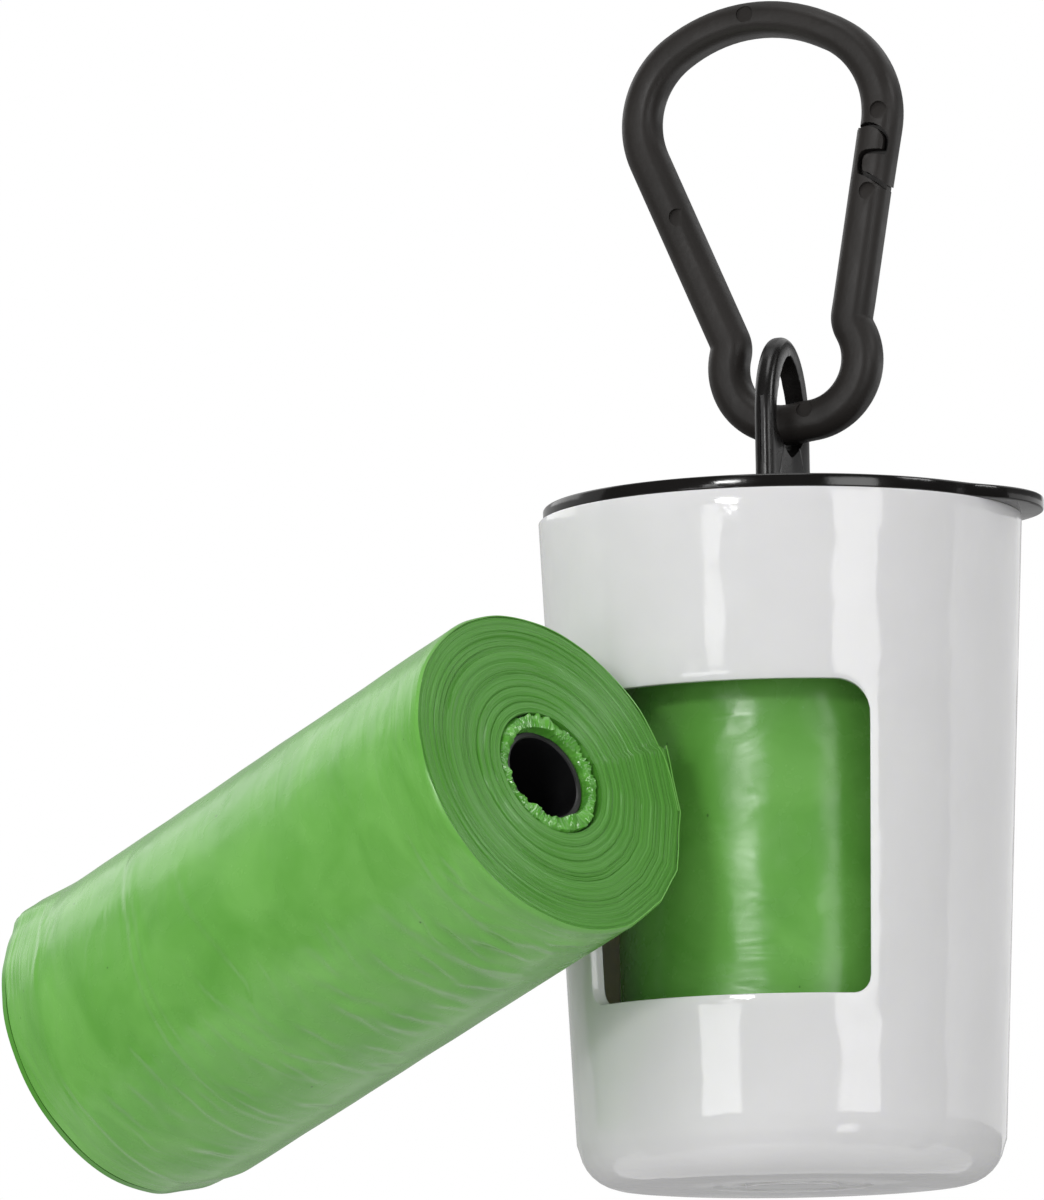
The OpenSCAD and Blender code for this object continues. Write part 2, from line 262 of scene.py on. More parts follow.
for vert in shell.verts:
    core, out, corner = from_window(atan2(vert.co.x, -vert.co.y) * mean_radius, vert.co.z - window_middle)
    is_inner = hypot(vert.co.x, vert.co.y) < wall_radius(vert.co.z) - wall / 2
    if is_inner and out.x > 0 and abs(out.length - corner) < draft_reach:
        vert.co = Matrix.Rotation(window_draft * out.normalized().x / mean_radius, 3, "Z") @ vert.co
shell = built(shell, [("BEVEL", {"width": lip_round, "segments": 3, "limit_method": "ANGLE",
                                 "angle_limit": lip_angle})])
settle("canister_cup", shell, "canister", "canister", canister_plastic)

# ----------------------------------------------------------
# Lid: a press-in cap in glossy black plastic. The plate has a round thumb tab that blends into its edge,
# and a plug ring below that grips inside the canister's rim.
lid_radius, lid_thickness = 22.55 * MM, 1.3 * MM
lid_top = canister_height + lid_thickness
lid_edge_round, lid_corner = 0.22 * MM, radians(60)
tab_radius, tab_reach, tab_turn, tab_fillet = 11 * MM, 2.75 * MM, radians(7), 0.9 * MM
tab_centre = lid_radius + tab_reach - tab_radius
lid_sides, plug_sides = 240, 144
plug_depth, plug_wall, plug_play = 4.5 * MM, 1.2 * MM, 0.12 * MM
plug_draft, plug_chamfer, plug_joint = 0.1 * MM, 0.5 * MM, 0.1 * MM
plug_radius = wall_radius(canister_height) - wall - plug_play
black_dark, black_light = (0.0060, 0.0056, 0.0054), (0.0095, 0.0088, 0.0084)
lid_plastic = moulded_plastic("black_gloss", black_dark, black_light, rough=(0.09, 0.15),
                              wave=(0.10 * MM, 150.0), grain=(0.004 * MM, 2200.0))


def lid_outline(turn):
    """Radius of the lid's edge: the plate and the tab's circle, joined by a soft fillet."""
    from_tab = turn - tab_turn
    across = tab_centre * sin(from_tab)
    tab_edge = 0.0
    if cos(from_tab) > 0 and abs(across) < tab_radius:
        tab_edge = tab_centre * cos(from_tab) + (tab_radius ** 2 - across ** 2) ** 0.5
    gap = tab_edge - lid_radius
    return lid_radius + (gap + hypot(gap, tab_fillet)) / 2 - tab_fillet ** 2 / (4 * lid_radius)


def thicken(mesh, by):
    """Extrudes the mesh's faces by a vector, which makes a flat outline a closed block."""
    grown = bmesh.ops.extrude_face_region(mesh, geom=mesh.faces[:])["geom"]
    moved = [part for part in grown if isinstance(part, bmesh.types.BMVert)]
    bmesh.ops.translate(mesh, verts=moved, vec=by)
    face_out(mesh)


def round_off(mesh, edges, width, segments):
    bmesh.ops.bevel(mesh, geom=edges, offset=width, segments=segments, affect="EDGES", profile=0.5,
                    material=-1)


def turned(section, steps):
    """A closed section of radii and heights, turned all the way round the upright axis."""
    mesh = bmesh.new()
    verts = [mesh.verts.new((radius, 0, height)) for radius, height in section]
    edges = [mesh.edges.new((verts[i], verts[i - 1])) for i in range(len(verts))]
    bmesh.ops.spin(mesh, geom=verts + edges, cent=(0, 0, 0), axis=(0, 0, 1), angle=2 * pi, steps=steps,
                   use_merge=True)
    face_out(mesh)
    return mesh


plate = bmesh.new()
bmesh.ops.create_circle(plate, cap_ends=True, segments=lid_sides, radius=1)
for vert in plate.verts:
    turn = atan2(vert.co.y, vert.co.x)
    radius = lid_outline(turn)
    vert.co = (radius * cos(turn), radius * sin(turn), canister_height)
thicken(plate, (0, 0, lid_thickness))
rim_edges = [edge for edge in plate.edges if edge.calc_face_angle(0) > lid_corner]
round_off(plate, rim_edges, lid_edge_round, 4)
settle("lid_plate", plate, "lid", "lid", lid_plastic)

plug_section = [(plug_radius, canister_height + plug_joint), (plug_radius, canister_height),
                (plug_radius - plug_draft, canister_height - plug_depth * 0.8),
                (plug_radius - plug_chamfer, canister_height - plug_depth),
                (plug_radius - plug_wall, canister_height - plug_depth),
                (plug_radius - plug_wall, canister_height + plug_joint)]
settle("lid_plug_ring", turned(plug_section, plug_sides), "lid", "lid", lid_plastic)

# ----------------------------------------------------------
# Loop: moulded in one with the lid, a thin upright plate of black plastic with an arched top and an oval
# eye for the snap hook. It is satin where the lid is glossy, its arch is full and rounded, and a groove
# from the mould's parting line runs down its narrow sides.
loop_x = 0.4 * MM
loop_half_width, loop_thickness, loop_arch = 5.6 * MM, 1.9 * MM, 8 * MM
loop_sunk = 0.4 * MM
loop_top, loop_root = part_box("lid")[1][2], lid_top - loop_sunk
loop_round, eye_round, sharp_corner = 0.8 * MM, 0.14 * MM, radians(50)
loop_sides = 144
eye_half_width = 4.05 * MM
arch_power, arch_lean, foot_power, foot_flat = 1.8, 0.6, 0.64, 0.12
eye_top, eye_widest, eye_foot = loop_top - 1.8 * MM, loop_top - 8.7 * MM, loop_top - 11.8 * MM
groove_width, groove_deep, groove_length = 0.42 * MM, 0.22 * MM, 6.5 * MM
groove_middle = loop_top - 9.5 * MM
eye_reach, flash_reach = 1.08, 1.06
flash, flash_grain, flash_above = 0.16 * MM, 1.9, 2 * MM
loop_plastic = moulded_plastic("black_satin", black_dark, black_light, rough=(0.22, 0.32),
                               wave=(0.12 * MM, 150.0), grain=(0.008 * MM, 1800.0))


def loop_spot(across, up, is_outer):
    """Where a point of the two drawn circles lands: on the eye's oval, or on the plate's outline."""
    is_upper = up > -touching
    share = up / eye_half_width
    if is_outer and is_upper:
        return across * loop_half_width / eye_half_width, loop_top - loop_arch + share * loop_arch
    if is_outer:
        depth = loop_top - loop_arch - loop_root
        reach = min(loop_half_width / max(abs(across), 1e-6), depth / max(-up, 1e-6))
        return across * reach, loop_top - loop_arch + up * reach
    if is_upper:
        reach = (1 - min(1, max(0, share)) ** arch_power) ** arch_lean * eye_half_width
        return reach if across > 0 else -reach, eye_widest + max(0, share) * (eye_top - eye_widest)
    rise = 1 - max(0, 1 - hypot(across / eye_half_width, foot_flat)) ** foot_power
    return across, eye_foot + rise * (eye_widest - eye_foot)


def from_eye(place):
    """Distance from the middle of the eye, where 1 is about the eye's own edge."""
    reach = eye_top - eye_widest if place.z > eye_widest else eye_widest - eye_foot
    return hypot(place.y / eye_half_width, (place.z - eye_widest) / reach)


def carved(mesh, cuts):
    """The mesh after an exact cut with each tool, given as the operation and the tool."""
    return built(mesh, [("BOOLEAN", {"operation": operation, "object": tool, "solver": "EXACT"})
                        for operation, tool in cuts])


loop = bmesh.new()
bmesh.ops.create_circle(loop, segments=loop_sides, radius=eye_half_width)
outer_verts = set(grow_edge(loop, loop.edges[:])[0])
for vert in loop.verts:
    vert.co = (loop_x, *loop_spot(vert.co.x, vert.co.y, vert in outer_verts))
face_out(loop)
loop = built(loop, [("SOLIDIFY", {"thickness": loop_thickness, "offset": 0.0})])
corner_edges = [edge for edge in loop.edges if edge.calc_face_angle(0) > sharp_corner]
eye_rim = [edge for edge in corner_edges
           if from_eye((edge.verts[0].co + edge.verts[1].co) / 2) < eye_reach]
outer_rim = [edge for edge in corner_edges if edge not in set(eye_rim)]
round_off(loop, outer_rim, loop_round, 8)
round_off(loop, [edge for edge in eye_rim if edge.is_valid], eye_round, 2)
for vert in loop.verts:
    if vert.co.z > eye_widest + flash_above and from_eye(vert.co) < flash_reach:
        height = max(0, noise.noise(vert.co / MM * flash_grain)) * flash
        vert.co -= Vector((0, vert.co.y, vert.co.z - eye_widest)).normalized() * height

grooves = bmesh.new()
for side in (-1, 1):
    bar = bmesh.ops.create_cube(grooves, size=1)["verts"]
    bmesh.ops.scale(grooves, verts=bar, vec=(groove_width, 2 * groove_deep, groove_length))
    bmesh.ops.translate(grooves, verts=bar, vec=(loop_x, side * loop_half_width, groove_middle))
groove_tool = as_object("groove_tool", grooves)
loop = carved(loop, [("DIFFERENCE", groove_tool)])
bpy.data.objects.remove(groove_tool)
settle("lid_loop", loop, "lid", "lid", loop_plastic, crisp=40)

# ----------------------------------------------------------
# Snap hook: moulded in one piece of matt charcoal plastic, a pear-shaped ring of nearly round rod.
# One side is a springy arm whose head hooks behind the nose, and the mould's ejector pins left round
# marks on its face. A thin web on the arm's head lies between the nose's faces and shuts the gap.
rod_width, rod_top_width, rod_depth, rod_corner = 3.75 * MM, 3.35 * MM, 4 * MM, 1.5 * MM
rod_sides, bend_step, straight_step, bend_share = 40, radians(3.5), 1.0, 0.995
hook_lean = radians(7)
hook_x, hook_y, hook_z = 1.97 * MM, 1.7 * MM, 73.008 * MM
hook_place = Matrix.Translation((hook_x, hook_y, hook_z)) @ Matrix.Rotation(-hook_lean, 4, "Y")
cutter_depth = 3 * rod_depth
web_depth, web_gap, arm_play = 1.3 * MM, 0.05, 0.06
gate_root, gate_set, gate_bend = 2.4, radians(0.75), 6
pin_radius, pin_length, pin_lean = 0.84 * MM, 2 * MM, radians(13)

# The rod's centre line and the arm's outlines are in millimetres: across and up from the hook's foot for
# the corners and the pins' marks, and across and along the arm from its neck for the outlines.
foot_x, foot_bend = 9.15, 5.7
neck_x, neck_h, neck_bend = 6.1, 8.6, 2.3
shoulder_x, shoulder_h, shoulder_bend, shoulder_drop = 13.9, 34.8, 8.9, 1.6
bow_h, bow_bend, bow_slim = 41.85, 16, 2
hook_corners = [(0, bow_h, bow_bend), (shoulder_x, shoulder_h - shoulder_drop, shoulder_bend),
                (neck_x, neck_h, neck_bend), (foot_x, 0, foot_bend), (-foot_x, 0, foot_bend),
                (-neck_x, neck_h, neck_bend), (-shoulder_x, shoulder_h, shoulder_bend)]
arm_outline = [(-3, 18.1), (-1.95, 18.3), (-1.4, 18.5), (-0.85, 18.68), (-0.2, 18.68), (0.35, 18.5),
               (0.75, 18.2), (1.0, 17.8), (1.08, 17.35), (1.06, 16.62), (0.2, 16.5), (-0.5, 16.35),
               (-0.9, 16.1), (-1.08, 15.8), (-1.1, 14.8), (-0.95, 14.1), (-0.1, 13.85), (0.55, 13.6),
               (1.3, 13.2), (3, 12.1), (3, gate_root), (-3, gate_root)]
slot_outline = [(-3, 18.4), (-1.95, 18.6), (-1.4, 18.85), (-0.9, 19.04), (-0.1, 19.02), (0.65, 18.75),
                (1.2, 18.3), (1.46, 17.8), (1.5, 17.2), (1.48, 16.16), (0.8, 16.12), (-0.2, 16.0),
                (-0.55, 15.8), (-0.66, 15.4), (-0.62, 14.75), (-0.45, 14.35), (0.2, 14.2), (1.05, 13.85),
                (1.9, 13.3), (3, 12.62), (3, gate_root), (-3, gate_root)]
pin_marks = [(0.32, 39.92, 0.18), (-9.2, 21.75, 0.18), (12.35, 27.88, 0.18), (10.14, 20.36, 0.18),
             (0.89, 0.83, 0.42)]

hook_plastic = moulded_plastic(
    "charcoal_matt", dark=(0.0175, 0.0155, 0.0142), light=(0.0235, 0.0208, 0.0192), rough=(0.38, 0.50),
    wave=(0.12 * MM, 160.0), grain=(0.022 * MM, 1500.0), sockets={"Specular IOR Level": 0.28})


def hook_centre_line():
    """The closed centre line of the rod, with a rounded bend at each corner."""
    count = len(hook_corners)
    places = [Vector(corner[:2]) for corner in hook_corners]
    runs = [(places[(i + 1) % count] - places[i]) for i in range(count)]
    turns = [runs[i - 1].angle(runs[i]) for i in range(count)]
    reach = [hook_corners[i][2] * tan(turns[i] / 2) for i in range(count)]
    share = [min(1, bend_share * runs[i].length / (reach[i] + reach[(i + 1) % count]))
             for i in range(count)]
    line = []
    for i in range(count):
        radius = hook_corners[i][2] * min(share[i - 1], share[i])
        before, after = runs[i - 1].normalized(), runs[i].normalized()
        side = 1 if before.cross(after) < 0 else -1
        start = places[i] - before * radius * tan(turns[i] / 2)
        centre = start + side * radius * Vector((before.y, -before.x))
        steps = max(2, ceil(turns[i] / bend_step))
        for step in range(steps + 1):
            line.append(centre + Matrix.Rotation(-side * turns[i] * step / steps, 2) @ (start - centre))
    return line


def fill_straights(line, longest):
    """The same closed line, with points added along its straights."""
    full = []
    for i, point in enumerate(line):
        after = line[(i + 1) % len(line)]
        pieces = max(1, round((after - point).length / longest))
        full += [point.lerp(after, step / pieces) for step in range(pieces)]
    return full


def rod_section(verts):
    """These points around a circle, moved onto the outline of the rod with its rounded corners."""
    section = []
    for vert in verts:
        core, out = from_core(vert.co.x, vert.co.y, rod_width / 2 - rod_corner, rod_depth / 2 - rod_corner)
        section.append(core + out.normalized() * rod_corner)
    return section


def swept_hook():
    """The rod swept once around the centre line, upright, with its bottom bend at the origin."""
    line = fill_straights(hook_centre_line(), straight_step)
    slim_from = shoulder_h - shoulder_drop - shoulder_bend / 2
    slim_to = bow_h - bow_slim
    rod = bmesh.new()
    bmesh.ops.create_circle(rod, segments=rod_sides, radius=rod_width)
    section = rod_section(rod.verts)
    last_ring, last_edges = rod.verts[:], rod.edges[:]
    for step in range(len(line) + 1):
        here = line[step % len(line)]
        before, after = line[(step - 1) % len(line)], line[(step + 1) % len(line)]
        along = ((here - before).normalized() + (after - here).normalized()).normalized()
        out = Vector((-along.y, along.x))
        slim = max(0, min(1, (here.y - slim_from) / (slim_to - slim_from)))
        narrow = 1 + (rod_top_width / rod_width - 1) * slim
        if step:
            last_ring, last_edges = grow_edge(rod, last_edges)
        for vert, place in zip(last_ring, section):
            flat = here * MM + out * place.x * narrow
            vert.co = (flat.x, place.y, flat.y)
    bmesh.ops.remove_doubles(rod, verts=rod.verts, dist=touching)
    face_out(rod)
    return rod


arm_tilt = atan2(shoulder_x - neck_x, shoulder_h - shoulder_drop - neck_h)
arm_place = Matrix.Translation((neck_x * MM, 0, neck_h * MM)) @ Matrix.Rotation(arm_tilt, 4, "Y")


def carry(mesh, place):
    bmesh.ops.transform(mesh, matrix=place, verts=mesh.verts)


def prism(outline, depth):
    """A block with this outline, across and along the arm from the neck, and this deep."""
    block = bmesh.new()
    block.faces.new([block.verts.new((across * MM, -depth / 2, along * MM)) for across, along in outline])
    thicken(block, (0, depth, 0))
    carry(block, arm_place)
    return block


def drawn_in(outline, distance):
    """The outline, moved inward by this much at every point but the root's."""
    moved = []
    for i, point in enumerate(outline):
        along = Vector(outline[(i + 1) % len(outline)]) - Vector(outline[i - 1])
        inward = Vector((along.y, -along.x)).normalized()
        moved.append(point if point[1] == gate_root else tuple(Vector(point) + inward * distance))
    return moved


pins = bmesh.new()
for across, up, depth in pin_marks:
    mark = bmesh.ops.create_cone(pins, cap_ends=True, segments=40, radius1=pin_radius, radius2=pin_radius,
                                 depth=pin_length)["verts"]
    mark_place = (Matrix.Translation((across * MM, depth * MM - rod_depth / 2, up * MM))
                  @ Matrix.Rotation(pi / 2 - pin_lean, 4, "X") @ Matrix.Translation((0, 0, pin_length / 2)))
    bmesh.ops.transform(pins, matrix=mark_place, verts=mark)
pin_tool = as_object("pin_tool", pins)
slot_tool = as_object("slot_tool", prism(slot_outline, cutter_depth))
web_tool = as_object("web_tool", prism(drawn_in(slot_outline, web_gap), web_depth))
arm_shape = prism(drawn_in(arm_outline, arm_play), cutter_depth)
arm_tool = as_object("arm_tool", carved(arm_shape, [("UNION", web_tool)]))
hook_frame = carved(swept_hook(), [("DIFFERENCE", pin_tool), ("DIFFERENCE", slot_tool)])
arm_rod = swept_hook()
arm_pivot = arm_place @ Vector((0, 0, gate_root * MM))
bmesh.ops.rotate(arm_rod, verts=arm_rod.verts, cent=arm_pivot, matrix=Matrix.Rotation(-gate_set, 3, "Y"))
hook_gate = carved(arm_rod, [("DIFFERENCE", pin_tool), ("INTERSECT", arm_tool)])
for tool in (pin_tool, slot_tool, arm_tool, web_tool):
    bpy.data.objects.remove(tool)
for part in (hook_frame, hook_gate):
    carry(part, hook_place)
settle("snap_hook_frame", hook_frame, "hook", "hook_frame", hook_plastic)
gate = settle("snap_hook_gate", hook_gate, None, "hook_gate", hook_plastic)
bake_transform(gate)

# ----------------------------------------------------------
# Core tubes: each roll of bags is wound on a short tube of black plastic, set back a little at both ends.
# One roll stands loose in the canister. The spare roll leans on the canister's side, and its bags have
# slipped a little along each other.
roll_low, roll_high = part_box("roll_bags")
roll_length = roll_high[2] - roll_low[2]
core_outer, core_inner, core_inset, core_lip = 4.6 * MM, 4.0 * MM, 1.0 * MM, 0.12 * MM
spare_rise, spare_heading = radians(19.6), radians(-24.6)
spare_slip, spare_slip_turn = 1.1 * MM, radians(125)
spare_low, spare_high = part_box("spare_bags")
spare_middle = (Vector(spare_low) + Vector(spare_high)) / 2
spare_skew = Matrix.Identity(4)
spare_skew[0][2] = spare_slip * cos(spare_slip_turn) / roll_length
spare_skew[1][2] = spare_slip * sin(spare_slip_turn) / roll_length
roll_place = Matrix.Translation((0, 0, roll_low[2]))
spare_place = (Matrix.Translation(spare_middle) @ Matrix.Rotation(spare_heading, 4, "Z")
               @ Matrix.Rotation(pi / 2 - spare_rise, 4, "Y") @ Matrix.Translation((0, 0, -roll_length / 2))
               @ spare_skew)
core_plastic = moulded_plastic("core_black", dark=(0.004, 0.004, 0.0045), light=(0.007, 0.007, 0.008),
                               rough=(0.35, 0.5), wave=(0.1 * MM, 200.0), grain=(0.01 * MM, 1500.0))


def core_tube(name, body, node, place):
    low, high = core_inset, roll_length - core_inset
    tube = turned([(core_outer, low + core_lip), (core_outer - core_lip, low),
                   (core_inner + core_lip, low), (core_inner, low + core_lip),
                   (core_inner, high - core_lip), (core_inner + core_lip, high),
                   (core_outer - core_lip, high), (core_outer, high - core_lip)], 64)
    carry(tube, place)
    settle(name, tube, body, node, core_plastic)


core_tube("roll_core_tube", "roll", "roll_core", roll_place)
core_tube("spare_core_tube", "spare_roll", "spare_core", spare_place)

# ----------------------------------------------------------
# First bags: the bag that each roll starts with, of thin green film, bunched around the core's outside.
# At each end it is crushed into a glossy ring of small facets, which folds over the core's edge. The
# film's radii and heights are worked out in millimetres, and become metres with the finished place.
first_bag_outer = 6.1
crumple_columns, crumple_rows = 420, 56
coarse_facets, fine_facets = 3.9, 12
coarse_push, fine_push, wide_push = 0.26, 0.08, 0.20
coarse_lift, fine_lift, wide_lift, ring_lift = 0.62, 0.26, 0.45, 0.05
coarse_lean, wide_lean, ring_lean, ring_flare = 0.30, 0.60, 0.28, 0.28
ring_from, side_power, end_power = 0.2, 0.35, 0.5
film_sheen = {"Specular IOR Level": 0.42, "Sheen Weight": 0.03, "Sheen Roughness": 0.45,
              "Sheen Tint": (0.80, 1.0, 0.72, 1)}
speck_colour = (0.02, 0.07, 0.01, 1)


def film_finish(name, dark, light, dents, lines, patchy, rough, sockets=()):
    """Satin film on its own map: soft mottling, dents and fine lines, waxy gloss and a few dark specks.

    The dents and the lines are each given as a depth and a size. The lines fade out in patches.
    """
    (dent_depth, dent_size), (line_depth, line_size) = dents, lines
    finish, shader, add, link = new_finish(name, {**film_sheen, **dict(sockets)})
    film_map = add("ShaderNodeUVMap", uv_map="film").outputs["UV"]

    def on_film(scale, shift):
        spread = add("ShaderNodeMapping",
                     {"Vector": film_map, "Scale": (*scale, 1.0), "Location": (shift, 0, 0)})
        return spread.outputs["Vector"]

    def clouds(scale, shift, **more):
        return add("ShaderNodeTexNoise", {"Vector": on_film(scale, shift), "Scale": 1.0, **more})

    mottle = clouds((14.0, 12.0), 0.0, Detail=5.0, Distortion=0.6)
    dots = add("ShaderNodeTexVoronoi", {"Vector": on_film((46.0, 27.0), 0.0), "Scale": 1.0})
    small = add("ShaderNodeMapRange", {"Value": dots.outputs["Distance"], "From Min": 0.03,
                                       "From Max": 0.06, "To Min": 0.75, "To Max": 0.0})
    picked = add("ShaderNodeMath", {0: dots.outputs["Color"], 1: 0.72}, operation="GREATER_THAN")
    speck = add("ShaderNodeMath", {0: small.outputs["Result"], 1: picked.outputs[0]}, operation="MULTIPLY")
    specked = add("ShaderNodeMix", {"Factor": speck.outputs[0], "B": speck_colour,
                                    "A": two_tone(add, mottle, 0.32, 0.68, dark, light)}, data_type="RGBA")
    link(specked.outputs["Result"], shader.inputs["Base Color"])
    dent = clouds(dent_size, 1.3, Detail=2.5, Distortion=0.7)
    dent_bump = add("ShaderNodeBump", {"Height": dent.outputs["Fac"], "Distance": dent_depth})
    patch = clouds((9.0, 5.0), 3.1, Detail=1.0)
    where = add("ShaderNodeMapRange", {"Value": patch.outputs["Fac"], "From Min": 0.40, "From Max": 0.65,
                                       "To Min": 1 - patchy})
    line = clouds(line_size, 5.7, Detail=1.5, Distortion=0.4)
    shown = add("ShaderNodeMath", {0: line.outputs["Fac"], 1: where.outputs["Result"]},
                operation="MULTIPLY")
    line_bump = add("ShaderNodeBump", {"Height": shown.outputs[0], "Distance": line_depth,
                                       "Normal": dent_bump.outputs["Normal"]})
    link(line_bump.outputs["Normal"], shader.inputs["Normal"])
    wax = clouds((40.0, 30.0), 0.0, Detail=3.0)
    link(uneven(add, wax, *rough), shader.inputs["Roughness"])
    return finish


# The crushed ring's mottling runs to darker greens than the outer film's. Part of this is random tone; its
# darker end is painted shade for the hollows between the folds.
film_crumple_tone_and_painted_shade = film_finish(
    "film_crumple_tone_and_painted_shade", dark=(0.058, 0.245, 0.022), light=(0.125, 0.400, 0.055), rough=(0.07, 0.16), patchy=0.5,
    dents=(0.14 * MM, (60.0, 16.0)), lines=(0.06 * MM, (90.0, 60.0)), sockets={"Specular IOR Level": 0.9})


def wound(columns, rows, spot):
    """A film sheet with its map, wound up: spot gives the place for a share along and a share across."""
    sheet = bmesh.new()
    sheet.loops.layers.uv.new("film")
    bmesh.ops.create_grid(sheet, x_segments=columns, y_segments=rows, size=0.5, calc_uvs=True)
    for vert in sheet.verts:
        vert.co = spot(vert.co.x + 0.5, vert.co.y + 0.5)
    return sheet


def round_axis(angle, radius, height):
    return Vector((radius * cos(angle), radius * sin(angle), height))


def facets(point):
    """Flat facets between sharp folds, from about -0.5 in the folds to 0.5."""
    near = noise.voronoi(point)[0]
    return min(1.0, 1.6 * (near[1] - near[0])) - 0.5


def crumpled_bag(name, body, node, place, seed):
    """A tube of film around the core, closed at both ends by its crushed ring."""
    middle, half = (core_outer / MM + first_bag_outer) / 2, (first_bag_outer - core_outer / MM) / 2

    def spot(along, across):
        angle = 2 * pi * along
        loop_turn = 2 * pi * across
        flank = abs(sin(loop_turn)) ** end_power * (1 if sin(loop_turn) > 0 else -1)
        spread = abs(cos(loop_turn)) ** side_power * (1 if cos(loop_turn) > 0 else -1)
        at_end = max(0.0, abs(flank) - ring_from)
        around = round_axis(angle, 1, 0)
        slant = noise.noise(around * 1.4 + Vector((seed, 0, 0)))
        sheared = round_axis(angle + slant * spread, 1, 0)
        wide = noise.noise(around * 1.3 + Vector((seed, 3.1, 0)))
        coarse = facets(sheared * coarse_facets + Vector((0, 0, seed + spread * 1.3 + flank)))
        fine = facets(sheared * fine_facets + Vector((0, 0, seed + 9 + spread * 2.6 + flank)))
        # The ends are pushed out and in by their folds, flare a little, and lean in over the core.
        radius = middle + half * spread * (1 + wide_push * wide)
        radius += (coarse_push * coarse + fine_push * fine) * at_end
        radius += ring_flare * at_end * max(0.0, spread)
        lift = ring_lift + (coarse_lift * coarse + fine_lift * fine + wide_lift * wide) * at_end
        height = roll_length / MM * (0.5 + 0.5 * flank) + lift * (1 if flank > 0 else -1)
        if spread < 0:
            radius -= (ring_lean + coarse_lean * coarse + wide_lean * wide) * at_end
        return round_axis(angle, radius, height) * MM

    wrap = wound(crumple_columns, crumple_rows, spot)
    bmesh.ops.remove_doubles(wrap, verts=wrap.verts, dist=0.002 * MM)
    carry(wrap, place)
    face_out(wrap)
    settle(name, wrap, body, node, film_crumple_tone_and_painted_shade, crisp=60)


crumpled_bag("roll_crumpled_bag", "roll", "roll_first_bag", roll_place, seed=3.0)
crumpled_bag("spare_crumpled_bag", "spare_roll", "spare_first_bag", spare_place, seed=11.0)

# ----------------------------------------------------------
# Bags: the bulk of each roll, flat bags of green film wound in a tight spiral around the first one. Their
# edges show at both ends as soft bands of uneven width and level, and the outermost ones lie slack, so
# the roll's outline has flats and corners, given here as turns in degrees with radii in millimetres.
roll_radius = 16.0
spiral_turns, spiral_steps, band_samples = 17, 160, 8
band_least, band_spread, band_extra, band_less, hairline = 0.34, 1.25, 0.30, 0.12, 0.12
dip_least, dip_spread, level_swing, fine_swing = 0.03, 0.30, 0.15, 0.02
under_film, rim_width, near_rim_drop, far_rim_drop = 0.12, 0.9, 0.20, 0.03
roll_edge_corners = [(128, 16.8), (112, 16.75), (90, 16.55), (68, 16.2), (50, 16.0)]
spare_edge_corners = [(103.7, 16.85), (79.5, 16.1), (55, 16.05), (39, 15.9), (20, 16.0)]
plain_rim = [(-180, 15.85), (180, 15.85)]
spare_far_rim = [(-180, 15.95), (-162, 16.1), (-149, 16.4), (-140, 16.7), (-133, 16.2), (-120, 15.9),
                 (-104, 15.6), (-80, 15.35), (-58, 15.38), (-28, 15.62), (-8, 15.45), (8, 15.05),
                 (26, 15.35), (50, 16.0), (100, 15.9), (180, 15.95)]
near_skirt = [(1.1, 1.3)]
far_skirt = [(0.0, 0.55), (0.5, 0.08), (0.2, 0.7)]
# The end faces of the wound film get a darker copy of the green film's colour. This is painted shade,
# standing in for the shade between the edges of the wound layers.
film_edges_painted_shade = film_finish(
    "film_edges_painted_shade", dark=(0.056, 0.218, 0.022), light=(0.090, 0.290, 0.040), rough=(0.20, 0.30), patchy=0.3,
    dents=(0.03 * MM, (70.0, 1.5)), lines=(0.11 * MM, (60.0, 7.0)))


def edge_radius(turn, corners):
    """Radius of the outermost film at a turn: chords between its corners, then round."""
    turn = (turn + 180) % 360 - 180
    for (turn_a, radius_a), (turn_b, radius_b) in zip(corners, corners[1:]):
        if turn_b <= turn <= turn_a:
            point_a = Vector((cos(radians(turn_a)), sin(radians(turn_a)))) * radius_a
            point_b = Vector((cos(radians(turn_b)), sin(radians(turn_b)))) * radius_b
            chord = point_b - point_a
            ray_out = Vector((cos(radians(turn)), sin(radians(turn))))
            return point_a.cross(chord) / ray_out.cross(chord)
    return roll_radius


def soft_step(share):
    return share * share * (3 - 2 * share)


def eased(turn, stations):
    """A value between stations of (turn, value), with soft steps all the way round."""
    turn = (turn - stations[0][0]) % 360 + stations[0][0]
    for (turn_a, value_a), (turn_b, value_b) in zip(stations, stations[1:]):
        if turn_a <= turn <= turn_b:
            return value_a + (value_b - value_a) * soft_step((turn - turn_a) / (turn_b - turn_a))
    return stations[-1][1]


